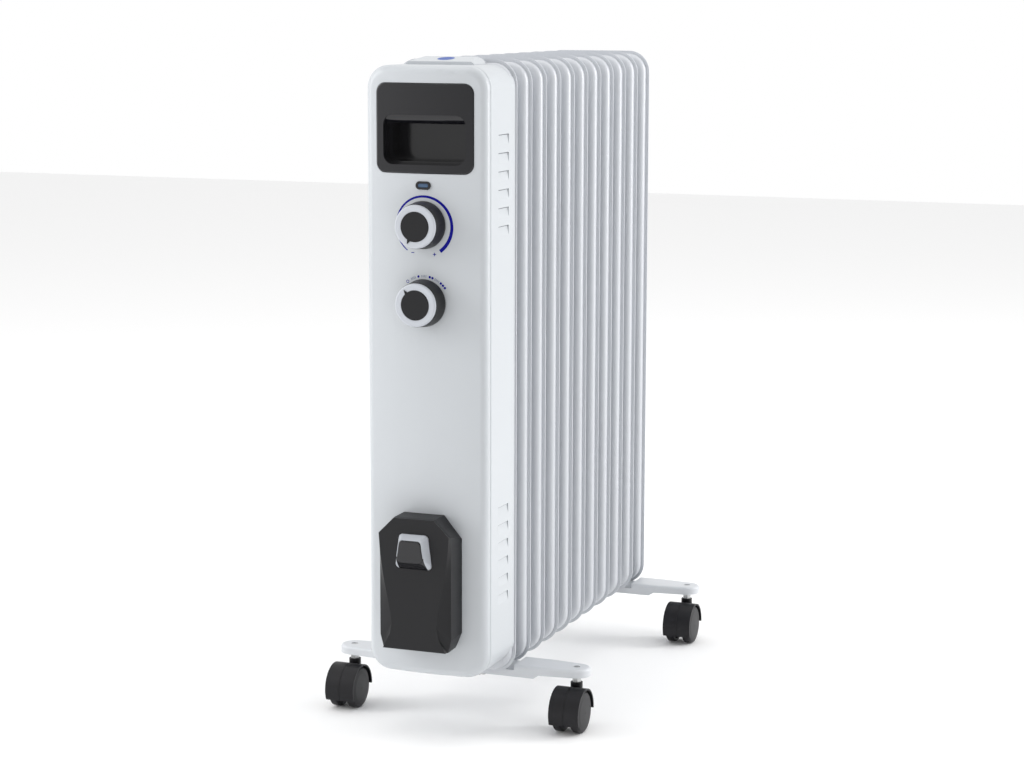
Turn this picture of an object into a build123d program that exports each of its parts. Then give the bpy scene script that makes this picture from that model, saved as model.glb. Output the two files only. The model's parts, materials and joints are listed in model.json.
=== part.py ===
from build123d import *
from math import atan2, cos, degrees, radians, sin, sqrt
import os

# Oil filled radiator heater on four swivelling twin-wheel casters.
# Frame: +Z up, the control front looks along -Y, X runs to the right seen from the front.
# The origin is on the floor, below the middle of the whole heater. Millimetres.

os.makedirs("parts", exist_ok=True)

# ---------------------------------------------------------------- driving dimensions
# Depths are first counted from the foremost line of the crowned front cover, "face".
FIN_COUNT = 11
FIN_PITCH = 39.15
FIRST_RIM_DEPTH = 77.6          # welded rim of the first fin, behind the face
FIN_HALF_WIDTH = 61.0
FIN_BOTTOM = 51.7
FIN_TOP = 634.0
FIN_CORNER_R = 22.4
SHEET = 0.6                     # pressed steel of the fins
RIM_FLANGE = 3.0                # flat welded edge outside the perimeter bead
BEAD_WIDTH = 12.0
BEAD_HEIGHT = 9.0
BEAD_ROUND = 5.4
FILM_HEIGHT = 3.4               # half thickness of the flat oil pocket inside the bead
CHANNEL_X = 17.0                # two riser channels run from hub to hub
CHANNEL_WIDTH = 15.0
CHANNEL_HEIGHT = 7.0
HUB_INSET = 46.0                # gallery axis above the bottom and below the top of a fin
HUB_R = 24.0
HUB_HEIGHT = 14.0
HUB_TAPER = 25.0
GALLERY_BORE_R = 14.0
NECK_R = 17.0
PLUG_THICKNESS = 1.5

HOUSING_HALF_WIDTH = 59.8
HOUSING_BOTTOM = 63.8
HOUSING_TOP = 629.8
HOUSING_CORNER_R = 21.0
CROWN = 6.4                     # the face stands this far proud of its own side edges
COVER_DEPTH = 14.0
COVER_WALL = 1.2
COVER_EDGE_R = 8.0
BAND_FRONT_DEPTH = 15.4
BAND_REAR_DEPTH = 76.8
BAND_WALL = 0.8
SHIELD_DEPTH = 58.0

HANDLE_HALF_WIDTH = 47.8
HANDLE_BOTTOM = 532.8
HANDLE_TOP = 614.1
THERMOSTAT_Z = 486.1
SWITCH_Z = 414.8
INDICATOR_Z = 522.0

BOX_DEPTH = 25.8                # plateau of the cord store lid in front of the face
LATCH_PROUD = 10.0              # latch button in front of that plateau
LATCH_TRAVEL = 3.0

FOOT_OFFSET = 18.4              # foot centre line behind the first rim, or before the last
FOOT_HALF_WIDTH = 17.3
FOOT_SHOULDER_X = 86.0
FOOT_TIP_R = 13.6
FOOT_TOP = 59.5
FOOT_WALL = 1.6
STEM_X = 116.4
CASTER_TRAIL = 15.4
WHEEL_R = 20.0

FINE = 0.05                     # running clearance of a pin in its bore
GAP = 0.3                       # clearance between bodies that pass each other

# ---------------------------------------------------------------- derived places
rear_most = FIRST_RIM_DEPTH + (FIN_COUNT - 1) * FIN_PITCH + HUB_HEIGHT + PLUG_THICKNESS
front_most = -(BOX_DEPTH + LATCH_PROUD)
FACE_Y = -(rear_most + front_most) / 2
FIRST_RIM_Y = FACE_Y + FIRST_RIM_DEPTH
LAST_RIM_Y = FIRST_RIM_Y + (FIN_COUNT - 1) * FIN_PITCH
FIN_HEIGHT = FIN_TOP - FIN_BOTTOM
FIN_MID_Z = (FIN_TOP + FIN_BOTTOM) / 2
LOWER_HUB_Z = FIN_BOTTOM + HUB_INSET
UPPER_HUB_Z = FIN_TOP - HUB_INSET
HOUSING_HEIGHT = HOUSING_TOP - HOUSING_BOTTOM
HOUSING_MID_Z = (HOUSING_TOP + HOUSING_BOTTOM) / 2
CROWN_R = (HOUSING_HALF_WIDTH**2 + CROWN**2) / (2 * CROWN)
FRONT_FOOT_Y = FIRST_RIM_Y + FOOT_OFFSET
REAR_FOOT_Y = LAST_RIM_Y - FOOT_OFFSET
CASTERS = {
    "fl": (-STEM_X, FRONT_FOOT_Y),
    "fr": (STEM_X, FRONT_FOOT_Y),
    "rl": (-STEM_X, REAR_FOOT_Y),
    "rr": (STEM_X, REAR_FOOT_Y),
}


def facing(y):
    """Upright plane at depth y that looks forwards: its axes are X and Z."""
    return Plane((0, y, 0), x_dir=(1, 0, 0), z_dir=(0, -1, 0))


def across(x):
    """Upright plane at width x that looks to the right: its axes are Y and Z."""
    return Plane((x, 0, 0), x_dir=(0, 1, 0), z_dir=(1, 0, 0))


def save(piece, name):
    """Label a finished piece and write its own file."""
    piece.label = name
    export_step(piece, f"parts/{name}.step")


# ================================================================ radiator fins
def fin_ring(inset, mode=Mode.ADD):
    """Rounded outline of a fin, moved inwards by inset."""
    with Locations((0, FIN_MID_Z)):
        RectangleRounded(
            2 * (FIN_HALF_WIDTH - inset),
            FIN_HEIGHT - 2 * inset,
            FIN_CORNER_R - inset,
            mode=mode,
        )


def fin_bead(shrink):
    """Half-round channel that runs round the whole fin, inside the welded rim."""
    with BuildPart() as bead:
        with BuildSketch(facing(0)):
            fin_ring(RIM_FLANGE + shrink)
            fin_ring(RIM_FLANGE + BEAD_WIDTH - shrink, mode=Mode.SUBTRACT)
        extrude(amount=BEAD_HEIGHT - shrink, both=True)
        crests = bead.faces().filter_by(Axis.Y)
        fillet(crests.edges(), BEAD_ROUND - shrink)
    return bead.part


def fin_risers(shrink):
    """Two upright oil channels between the lower and the upper hub."""
    with BuildPart() as risers:
        with BuildSketch(facing(0)):
            with Locations((-CHANNEL_X, FIN_MID_Z), (CHANNEL_X, FIN_MID_Z)):
                Rectangle(CHANNEL_WIDTH - 2 * shrink, UPPER_HUB_Z - LOWER_HUB_Z)
        extrude(amount=CHANNEL_HEIGHT - shrink, both=True)
        fillet(risers.faces().filter_by(Axis.Y).edges().filter_by(Axis.Z), 3.0)
    return risers.part


def fin_form(shrink):
    """Outer form of a fin for shrink 0, and its oil space for shrink = sheet."""
    with BuildPart() as form:
        add(fin_bead(shrink))
        with BuildSketch(facing(0)):
            fin_ring(RIM_FLANGE + BEAD_WIDTH / 2)
        extrude(amount=FILM_HEIGHT - shrink, both=True)
        add(fin_risers(shrink))
        for side in (1, -1):
            with BuildSketch(facing(0)):
                with Locations((0, LOWER_HUB_Z), (0, UPPER_HUB_Z)):
                    foot_r = HUB_R - shrink + 0.466 * (HUB_HEIGHT - shrink)
                    Circle(foot_r)
            extrude(amount=side * (HUB_HEIGHT - shrink), taper=HUB_TAPER)
    return form.part


with BuildPart() as fin:
    add(fin_form(0))
    with BuildSketch(facing(0)):
        fin_ring(0)
    extrude(amount=SHEET, both=True)
    add(fin_form(SHEET), mode=Mode.SUBTRACT)
    with BuildSketch(facing(0)):
        with Locations((0, LOWER_HUB_Z), (0, UPPER_HUB_Z)):
            Circle(GALLERY_BORE_R)
    extrude(amount=HUB_HEIGHT + 1, both=True, mode=Mode.SUBTRACT)

for number in range(1, FIN_COUNT + 1):
    rim_y = FIRST_RIM_Y + (number - 1) * FIN_PITCH
    save(fin.part.moved(Location((0, rim_y, 0))), f"fin_{number:02d}")

# Welded neck rings join the hubs of neighbouring fins; plugs close the two galleries' ends.
NECK_LENGTH = FIN_PITCH - 2 * HUB_HEIGHT
with BuildPart() as gallery_fittings:
    for gap in range(FIN_COUNT - 1):
        neck_y = FIRST_RIM_Y + gap * FIN_PITCH + HUB_HEIGHT
        with BuildSketch(facing(neck_y)):
            with Locations((0, LOWER_HUB_Z), (0, UPPER_HUB_Z)):
                Circle(NECK_R)
                Circle(GALLERY_BORE_R, mode=Mode.SUBTRACT)
        extrude(amount=-NECK_LENGTH)
    with BuildSketch(facing(LAST_RIM_Y + HUB_HEIGHT)):
        with Locations((0, LOWER_HUB_Z), (0, UPPER_HUB_Z)):
            Circle(NECK_R + 2)
    extrude(amount=-PLUG_THICKNESS)
    with BuildSketch(facing(FIRST_RIM_Y - HUB_HEIGHT)):
        with Locations((0, UPPER_HUB_Z)):
            Circle(NECK_R + 2)
    extrude(amount=PLUG_THICKNESS)
save(gallery_fittings.part, "gallery_fittings")

# ================================================================ heating element
# Two sheathed U rods lie in the oil of the lower gallery, brazed into a round flange.
ROD_R = 3.2
ROD_X = 5.4
ROD_BEND_R = 5.0
FLANGE_R = 20.0
FLANGE_THICKNESS = 3.0
flange_y = FIRST_RIM_Y - HUB_HEIGHT
rod_end_y = LAST_RIM_Y - 6.0

with BuildPart() as heating_element:
    with BuildSketch(facing(flange_y)):
        with Locations((0, LOWER_HUB_Z)):
            Circle(FLANGE_R)
    extrude(amount=FLANGE_THICKNESS)
    chamfer(heating_element.faces().sort_by(Axis.Y)[0].edges(), 0.8)
    for rod_x in (-ROD_X, ROD_X):
        with BuildLine(across(rod_x)) as rod_path:
            Line((flange_y - 1, LOWER_HUB_Z + ROD_BEND_R), (rod_end_y, LOWER_HUB_Z + ROD_BEND_R))
            ThreePointArc(
                (rod_end_y, LOWER_HUB_Z + ROD_BEND_R),
                (rod_end_y + ROD_BEND_R, LOWER_HUB_Z),
                (rod_end_y, LOWER_HUB_Z - ROD_BEND_R),
            )
            Line((rod_end_y, LOWER_HUB_Z - ROD_BEND_R), (flange_y - 1, LOWER_HUB_Z - ROD_BEND_R))
        with BuildSketch(facing(flange_y - 1)) as rod_section:
            with Locations((rod_x, LOWER_HUB_Z + ROD_BEND_R)):
                Circle(ROD_R)
        sweep(rod_section.sketch, path=rod_path.wires()[0])
    with BuildSketch(facing(flange_y - FLANGE_THICKNESS)):
        for rod_x in (-ROD_X, ROD_X):
            with Locations((rod_x, LOWER_HUB_Z - ROD_BEND_R), (rod_x, LOWER_HUB_Z + ROD_BEND_R)):
                Circle(1.8)
    extrude(amount=9.0)
save(heating_element.part, "heating_element")


# ================================================================ control housing
def crown_y(x, proud=0.0):
    """Depth of the crowned face at width x, or of a face standing proud of it."""
    radius = CROWN_R + proud
    return FACE_Y + CROWN_R - sqrt(radius**2 - x**2)


def crowned_form(half_width, bottom, top, corner_r, proud, rear_y):
    """Upright block with rounded corners whose front follows the crowned face."""
    edge_y = crown_y(half_width, proud)
    with BuildPart() as form:
        with BuildSketch(Plane.XY.offset(bottom)):
            with BuildLine():
                ThreePointArc((-half_width, edge_y), (0, FACE_Y - proud), (half_width, edge_y))
                Polyline(
                    (half_width, edge_y),
                    (half_width, rear_y),
                    (-half_width, rear_y),
                    (-half_width, edge_y),
                )
            make_face()
        extrude(amount=top - bottom)
        with BuildSketch(facing(rear_y)):
            with Locations((0, (top + bottom) / 2)):
                RectangleRounded(2 * half_width, top - bottom, corner_r)
        extrude(amount=rear_y - FACE_Y + proud + 1, mode=Mode.INTERSECT)
    return form.part


def cover_form(shrink, rear_y):
    """Front cover form with its softly rounded front edge."""
    with BuildPart() as form:
        add(
            crowned_form(
                HOUSING_HALF_WIDTH - shrink,
                HOUSING_BOTTOM + shrink,
                HOUSING_TOP - shrink,
                HOUSING_CORNER_R - shrink,
                -shrink,
                rear_y,
            )
        )
        front_face = form.faces().sort_by(Axis.Y)[0]
        fillet(front_face.edges(), COVER_EDGE_R - shrink)
    return form.part


# Cord store outlines: the foot of the lid on the cover, and its narrower front plateau.
BOX_BOTTOM = 93.8
BOX_TOP = 218.8
HINGE_Z = 98.5
HINGE_Y = FACE_Y - 5.0
# right half outlines, (x, z) from the top edge down to the lower edge
BOX_FOOT = [(20.0, 218.8), (36.9, 197), (36.9, 180), (36.9, 160), (36.9, 140), (36.9, 124)]
BOX_FOOT += [(36.9, 116), (36.9, 108), (31.0, 93.8)]
BOX_SHOULDER = [(20.0, 218.5), (35.6, 202.6), (35.6, 184), (35.6, 164), (35.6, 146), (35.6, 130)]
BOX_SHOULDER += [(35.6, 118), (35.6, 106), (32.4, 94.0)]
BOX_PLATEAU = [(20.0, 218.0), (35.0, 203), (33.6, 184), (30.8, 164), (27.2, 146), (23.8, 130)]
BOX_PLATEAU += [(22.4, 118), (24.2, 108), (31.4, 94.2)]
SHOULDER_DEPTH = 21.5
TRAY_HALF_WIDTH = 31.0
TRAY_BOTTOM = 100.5
TRAY_TOP = 203.0
TRAY_REAR_Y = FACE_Y + 32.0

with BuildPart() as front_cover:
    cover_rear_y = FACE_Y + COVER_DEPTH
    add(cover_form(0, cover_rear_y))
    add(cover_form(COVER_WALL, cover_rear_y + 1), mode=Mode.SUBTRACT)
    # window for the handle pocket, slot for the indicator and holes for the two shafts
    with BuildSketch(facing(FACE_Y + 8)):
        with Locations((0, (HANDLE_TOP + HANDLE_BOTTOM) / 2)):
            RectangleRounded(
                2 * HANDLE_HALF_WIDTH + 2 * GAP, HANDLE_TOP - HANDLE_BOTTOM + 2 * GAP, 9.0 + GAP
            )
        with Locations((0, INDICATOR_Z)):
            SlotOverall(12.6, 5.5)
        with Locations((0, THERMOSTAT_Z), (0, SWITCH_Z)):
            Circle(5.2)
        with Locations((0, (TRAY_TOP + TRAY_BOTTOM) / 2)):
            RectangleRounded(2 * TRAY_HALF_WIDTH + 0.6, TRAY_TOP - TRAY_BOTTOM + 0.6, 5.3)
    extrude(amount=12, mode=Mode.SUBTRACT)
    # notches where the two hinge ears of the cord store come out
    with BuildSketch(facing(FACE_Y + 8)):
        with Locations((-22, TRAY_BOTTOM), (22, TRAY_BOTTOM)):
            Rectangle(6.0, 8.0)
    extrude(amount=12, mode=Mode.SUBTRACT)
save(front_cover.part, "front_cover")

# Side band of the housing: a rounded steel frame with a front lip and pressed louvres.
LOUVRE_LENGTH = 26.0
LOUVRE_DROP = 9.3
LOUVRE_DEPTH = 1.5
LOUVRE_PITCH = 16.75
LOUVRE_COUNT = 6
LOUVRE_MID_DEPTH = 47.0
LOUVRE_TOPS = [567.3, 221.6]
louvre_z = [top - i * LOUVRE_PITCH for top in LOUVRE_TOPS for i in range(LOUVRE_COUNT)]


def louvre_wedge(side, top_z, inset):
    """Cross section of a louvre that leans into the wall from its lower edge."""
    wall_x = side * (HOUSING_HALF_WIDTH - inset)
    with BuildSketch(facing(FACE_Y + LOUVRE_MID_DEPTH)) as wedge:
        with BuildLine():
            Polyline(
                (wall_x + side * 0.01, top_z),
                (wall_x - side * LOUVRE_DEPTH, top_z),
                (wall_x + side * 0.01, top_z - LOUVRE_DROP),
                close=True,
            )
        make_face()
    return wedge.sketch


def band_form(inset, front_y, rear_y):
    """Rounded frame form of the housing with a softened front edge."""
    with BuildPart() as form:
        with BuildSketch(facing(rear_y)):
            with Locations((0, HOUSING_MID_Z)):
                RectangleRounded(
                    2 * (HOUSING_HALF_WIDTH - inset),
                    HOUSING_HEIGHT - 2 * inset,
                    HOUSING_CORNER_R - inset,
                )
        extrude(amount=rear_y - front_y)
        fillet(form.faces().sort_by(Axis.Y)[0].edges(), 3.0 - inset)
    return form.part


def first_fin_space():
    """Space taken by the bead of the first fin, with a small clearance round it."""
    with BuildPart() as space:
        with BuildSketch(facing(FIRST_RIM_Y + 2)):
            fin_ring(RIM_FLANGE - 0.6)
        extrude(amount=BEAD_HEIGHT + 2.6)
    return space.part


band_front_y = FACE_Y + BAND_FRONT_DEPTH
band_rear_y = FACE_Y + BAND_REAR_DEPTH
with BuildPart() as housing_band:
    add(band_form(0, band_front_y, band_rear_y))
    add(band_form(BAND_WALL, band_front_y + BAND_WALL, band_rear_y + 1), mode=Mode.SUBTRACT)
    with BuildSketch(facing(band_front_y + 4)):
        with Locations((0, HOUSING_MID_Z)):
            RectangleRounded(2 * (HOUSING_HALF_WIDTH - 9), HOUSING_HEIGHT - 18, HOUSING_CORNER_R - 9)
    extrude(amount=8, mode=Mode.SUBTRACT)
    for side in (-1, 1):
        for top_z in louvre_z:
            extrude(
                louvre_wedge(side, top_z, BAND_WALL),
                amount=LOUVRE_LENGTH / 2 + BAND_WALL,
                both=True,
            )
    for side in (-1, 1):
        for top_z in louvre_z:
            extrude(
                louvre_wedge(side, top_z + 0.01, 0),
                amount=LOUVRE_LENGTH / 2,
                both=True,
                mode=Mode.SUBTRACT,
            )
    add(first_fin_space(), mode=Mode.SUBTRACT)
save(housing_band.part, "housing_band")

# Low wedge-shaped cap on top of the housing, rising to the rear.
PAD_FRONT_DEPTH = 39.0
PAD_REAR_DEPTH = 72.0
with BuildPart() as top_pad:
    with BuildSketch(across(0)):
        with BuildLine():
            Polyline(
                (FACE_Y + PAD_FRONT_DEPTH, HOUSING_TOP),
                (FACE_Y + PAD_FRONT_DEPTH, HOUSING_TOP + 2.9),
                (FACE_Y + PAD_REAR_DEPTH - 6, HOUSING_TOP + 6.9),
                (FACE_Y + PAD_REAR_DEPTH, HOUSING_TOP + 5.4),
                (FACE_Y + PAD_REAR_DEPTH, HOUSING_TOP),
                close=True,
            )
        make_face()
    extrude(amount=34.0, both=True)
    for side in (-1, 1):
        with BuildSketch(facing(FACE_Y + PAD_REAR_DEPTH + 1)):
            with BuildLine():
                Polyline(
                    (side * 34.01, HOUSING_TOP + 0.6),
                    (side * 25.5, HOUSING_TOP + 7.1),
                    (side * 36.0, HOUSING_TOP + 7.1),
                    (side * 36.0, HOUSING_TOP + 0.6),
                    close=True,
                )
            make_face()
        extrude(amount=40, mode=Mode.SUBTRACT)
    add(first_fin_space(), mode=Mode.SUBTRACT)
save(top_pad.part, "top_pad")

# Heat shield between the electrical space and the first fin.
with BuildPart() as heat_shield:
    with BuildSketch(facing(FACE_Y + SHIELD_DEPTH)):
        with Locations((0, HOUSING_MID_Z)):
            RectangleRounded(
                2 * (HOUSING_HALF_WIDTH - BAND_WALL - 2.5),
                HOUSING_HEIGHT - 2 * (BAND_WALL + 2.5),
                HOUSING_CORNER_R - BAND_WALL - 2.5,
            )
        with Locations((0, LOWER_HUB_Z)):
            Circle(FLANGE_R + 4, mode=Mode.SUBTRACT)
    extrude(amount=1.0)
save(heat_shield.part, "heat_shield")

# ================================================================ handle pocket
PANEL_PROUD = 0.8
PANEL_BACK_Y = FACE_Y + 8.0
POCKET_HALF_WIDTH = 40.5
POCKET_BOTTOM = 540.5
POCKET_TOP = 585.5
POCKET_STEP_Y = FACE_Y + 16.0
POCKET_REAR_Y = FACE_Y + 33.5
POCKET_WALL = 2.0
GRIP_R = 9.2
GRIP_Z = POCKET_TOP + 0.8
GRIP_Y = FACE_Y + GRIP_R + 2.5

with BuildPart() as handle_pocket:
    add(
        crowned_form(
            HANDLE_HALF_WIDTH, HANDLE_BOTTOM, HANDLE_TOP, 9.0, PANEL_PROUD, PANEL_BACK_Y
        )
    )
    fillet(handle_pocket.faces().sort_by(Axis.Y)[0].edges(), 1.2)
    # outer walls of the pocket behind the panel
    with BuildSketch(facing(PANEL_BACK_Y)):
        with Locations((0, (POCKET_BOTTOM + 606) / 2)):
            RectangleRounded(2 * (POCKET_HALF_WIDTH + POCKET_WALL), 606 - POCKET_BOTTOM + 4, 10)
    extrude(amount=-(POCKET_REAR_Y + POCKET_WALL - PANEL_BACK_Y))
    # front opening, stepped narrower half way down its depth
    with BuildSketch(facing(POCKET_STEP_Y)):
        with Locations((0, (POCKET_BOTTOM + POCKET_TOP) / 2)):
            RectangleRounded(2 * POCKET_HALF_WIDTH, POCKET_TOP - POCKET_BOTTOM, 9.5)
    extrude(amount=POCKET_STEP_Y - FACE_Y + 3, mode=Mode.SUBTRACT)
    # deep hollow that reaches up behind the grip
    with BuildSketch(facing(POCKET_REAR_Y)):
        with Locations((0, (POCKET_BOTTOM + 2.0 + 604) / 2)):
            RectangleRounded(2 * (POCKET_HALF_WIDTH - 3.2), 604 - POCKET_BOTTOM - 2.0, 9.5)
    extrude(amount=POCKET_REAR_Y - POCKET_STEP_Y, mode=Mode.SUBTRACT)
    with BuildSketch(facing(POCKET_REAR_Y)):
        with Locations((0, (POCKET_BOTTOM + 2.0 + POCKET_TOP) / 2)):
            RectangleRounded(2 * (POCKET_HALF_WIDTH - 3.2), POCKET_TOP - POCKET_BOTTOM - 2.0, 9.0)
    extrude(amount=POCKET_REAR_Y - FACE_Y - 1, mode=Mode.SUBTRACT)
    # rounded grip bar along the upper edge of the opening
    with BuildSketch(across(0)):
        with Locations((GRIP_Y, GRIP_Z)):
            Circle(GRIP_R)
    extrude(amount=POCKET_HALF_WIDTH + 0.5, both=True)
save(handle_pocket.part, "handle_pocket")

# ================================================================ indicator
with BuildPart() as indicator_bezel:
    with BuildSketch(facing(FACE_Y + 3)):
        with Locations((0, INDICATOR_Z)):
            SlotOverall(12.2, 5.1)
    extrude(amount=3.5)
    with BuildSketch(facing(FACE_Y - 0.05)):
        with Locations((0, INDICATOR_Z)):
            SlotOverall(14.8, 7.6)
    extrude(amount=1.2)
    fillet(indicator_bezel.faces().sort_by(Axis.Y)[0].edges(), 0.5)
    with BuildSketch(facing(FACE_Y + 4)):
        with Locations((0, INDICATOR_Z)):
            SlotOverall(10.2, 3.7)
    extrude(amount=8, mode=Mode.SUBTRACT)
save(indicator_bezel.part, "indicator_bezel")

with BuildPart() as indicator_lens:
    with BuildSketch(facing(FACE_Y + 5)):
        with Locations((0, INDICATOR_Z)):
            SlotOverall(10.1, 3.6)
    extrude(amount=5.9)
    fillet(indicator_lens.faces().sort_by(Axis.Y)[0].edges(), 0.3)
save(indicator_lens.part, "indicator_lens")

# ================================================================ thermostat and power switch
SHAFT_R = 3.0
BUSH_R = 4.8
CONTROL_FRONT_Y = FACE_Y + COVER_WALL + 1.0
CONTROL_REAR_Y = FACE_Y + 26.0


def control_body(half_width, half_height, z):
    """Rotary control behind the cover, with a threaded bush for its shaft."""
    with BuildPart() as body:
        with BuildSketch(facing(CONTROL_REAR_Y)):
            with Locations((0, z)):
                RectangleRounded(2 * half_width, 2 * half_height, 2.0)
        extrude(amount=CONTROL_REAR_Y - CONTROL_FRONT_Y)
        with BuildSketch(facing(CONTROL_FRONT_Y)):
            with Locations((0, z)):
                Circle(BUSH_R)
        extrude(amount=CONTROL_FRONT_Y - FACE_Y + 4.5)
        with BuildSketch(facing(CONTROL_FRONT_Y + 14)):
            with Locations((0, z)):
                Circle(SHAFT_R + FINE)
        extrude(amount=30, mode=Mode.SUBTRACT)
        # blade terminals on the rear
        with BuildSketch(facing(CONTROL_REAR_Y)):
            with Locations((-half_width / 2, z), (half_width / 2, z)):
                Rectangle(0.8, 6.3)
        extrude(amount=-8.0)
    return body.part


def control_shaft(z):
    """Round control shaft from inside the control to inside the knob."""
    with BuildPart() as shaft:
        with BuildSketch(facing(CONTROL_FRONT_Y + 13.5)):
            with Locations((0, z)):
                Circle(SHAFT_R)
        extrude(amount=CONTROL_FRONT_Y + 13.5 - (FACE_Y - 15.0))
    return shaft.part


save(control_body(20.0, 15.0, THERMOSTAT_Z), "thermostat")
save(control_body(16.0, 16.0, SWITCH_Z), "power_switch")
save(control_shaft(THERMOSTAT_Z), "thermostat_shaft")
save(control_shaft(SWITCH_Z), "switch_shaft")

# ================================================================ knobs
KNOB_BASE_R = 21.9
KNOB_RING_R = 19.9
KNOB_CAP_R = 13.7
KNOB_BACK = 0.7                 # gap between the knob and the face
KNOB_RING_BACK = 17.6
KNOB_RING_FRONT = 20.6
KNOB_CAP_FRONT = 21.2


def knob_profile(points, z):
    """Revolve (radius, distance in front of the face) points about a knob's own axis."""
    with BuildPart() as turned:
        with BuildSketch(Plane((0, FACE_Y, z), x_dir=(1, 0, 0), z_dir=(0, 0, 1))):
            with BuildLine():
                Polyline(*[(radius, -front) for radius, front in points], close=True)
            make_face()
        revolve(axis=Axis((0, FACE_Y, z), (0, 1, 0)))
    return turned.part


def knob_body(z):
    """Black tapered skirt with a hollow back and a hub that holds the shaft."""
    with BuildPart() as body:
        add(
            knob_profile(
                [
                    (SHAFT_R, 15.0),
                    (SHAFT_R, 7.0),
                    (7.0, 7.0),
                    (7.0, 15.0),
                    (19.0, 15.0),
                    (20.2, KNOB_BACK),
                    (KNOB_BASE_R, KNOB_BACK),
                    (KNOB_BASE_R, KNOB_BACK + 1.2),
                    (20.3, KNOB_RING_BACK),
                    (0.0, KNOB_RING_BACK),
                    (0.0, 15.0),
                ],
                z,
            )
        )
    return body.part


def knob_ring(z):
    """Pale front ring with rounded edges."""
    with BuildPart() as ring:
        with BuildSketch(facing(FACE_Y - KNOB_RING_BACK)):
            with Locations((0, z)):
                Circle(KNOB_RING_R)
                Circle(KNOB_CAP_R + 0.15, mode=Mode.SUBTRACT)
        extrude(amount=KNOB_RING_FRONT - KNOB_RING_BACK)
        front = ring.faces().sort_by(Axis.Y)[0]
        fillet(front.edges().sort_by(SortBy.LENGTH)[-1], 1.6)
    return ring.part


def knob_cap(z, pointer_deg):
    """Dark centre disc with a small pointer nib lying on the ring."""
    with BuildPart() as cap:
        with BuildSketch(facing(FACE_Y - KNOB_RING_BACK)):
            with Locations((0, z)):
                Circle(KNOB_CAP_R)
        extrude(amount=KNOB_CAP_FRONT - KNOB_RING_BACK)
        fillet(cap.faces().sort_by(Axis.Y)[0].edges(), 0.6)
        angle = radians(pointer_deg)
        tip = (17.4 * cos(angle), z + 17.4 * sin(angle))
        side = 9.0
        left = (12.6 * cos(angle + radians(side)), z + 12.6 * sin(angle + radians(side)))
        right = (12.6 * cos(angle - radians(side)), z + 12.6 * sin(angle - radians(side)))
        with BuildSketch(facing(FACE_Y - KNOB_RING_FRONT)):
            with BuildLine():
                Polyline(tip, left, right, close=True)
            make_face()
        extrude(amount=KNOB_CAP_FRONT - KNOB_RING_FRONT)
    return cap.part


THERMOSTAT_POINTER = 245.0      # at the minus sign, anticlockwise from the right
SWITCH_POINTER = 128.0          # at the off mark
save(knob_body(THERMOSTAT_Z), "thermostat_knob")
save(knob_ring(THERMOSTAT_Z), "thermostat_knob_ring")
save(knob_cap(THERMOSTAT_Z, THERMOSTAT_POINTER), "thermostat_knob_cap")
save(knob_body(SWITCH_Z), "switch_knob")
save(knob_ring(SWITCH_Z), "switch_knob_ring")
save(knob_cap(SWITCH_Z, SWITCH_POINTER), "switch_knob_cap")


# ================================================================ cord store
def box_outline(half_points, inset=0.0):
    """Closed outline from its right half; inset moves it towards its own middle."""
    right = []
    for x, z in half_points:
        end_shift = 0.0
        if z > 215:
            end_shift = -inset
        if z < 95:
            end_shift = inset
        right.append((x - inset, z + end_shift))
    left = [(-x, z) for x, z in reversed(right)]
    with BuildSketch() as outline:
        with BuildLine():
            Polyline(*right, *left, close=True)
        make_face()
    return outline.sketch


def lid_form(shrink):
    """Faceted lid: steep side walls, then shallow facets up to a waisted front plateau."""
    with BuildPart() as form:
        with BuildSketch(facing(FACE_Y + 4)):
            add(box_outline(BOX_FOOT, shrink))
        with BuildSketch(facing(FACE_Y - SHOULDER_DEPTH + shrink)):
            add(box_outline(BOX_SHOULDER, shrink))
        loft(ruled=True)
        with BuildSketch(facing(FACE_Y - SHOULDER_DEPTH + shrink)):
            add(box_outline(BOX_SHOULDER, shrink))
        with BuildSketch(facing(FACE_Y - BOX_DEPTH + shrink)):
            add(box_outline(BOX_PLATEAU, shrink))
        loft(ruled=True)
    return form.part


def latch_outline(corners, grow, corner_r):
    """Trapezoid with rounded corners from its upper and lower right corners."""
    (top_x, top_z), (low_x, low_z) = corners
    with BuildSketch() as outline:
        with BuildLine():
            Polyline(
                (top_x + grow, top_z + grow),
                (low_x + grow, low_z - grow),
                (-low_x - grow, low_z - grow),
                (-top_x - grow, top_z + grow),
                close=True,
            )
        make_face()
        fillet(outline.vertices(), corner_r)
    return outline.sketch


EAR_X = 22.0
EAR_THICKNESS = 3.6
BARREL_R = 4.1
PIN_R = 1.8
LATCH_BASE = [(14.2, 203.7), (18.4, 171.5)]      # half width and height of the latch window
LATCH_PAD = [(10.6, 199.8), (13.6, 179.2)]
FRAME_PROUD = 1.0               # tray frame above the crowned cover


def tray_frame():
    """Thin crowned frame that lies on the cover, under the rim of the lid."""
    with BuildPart() as frame:
        with BuildSketch(facing(FACE_Y + 4)):
            add(box_outline(BOX_FOOT, 0.4))
        extrude(amount=8)
        add(crowned_form(60, 80, 240, 1, FRAME_PROUD, FACE_Y + 12), mode=Mode.INTERSECT)
        add(crowned_form(62, 70, 250, 1, 0.0, FACE_Y + 14), mode=Mode.SUBTRACT)
        with BuildSketch(facing(FACE_Y + 4)):
            with Locations((0, 97)):
                Rectangle(90, 13)
        extrude(amount=8, mode=Mode.SUBTRACT)
    return frame.part


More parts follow.
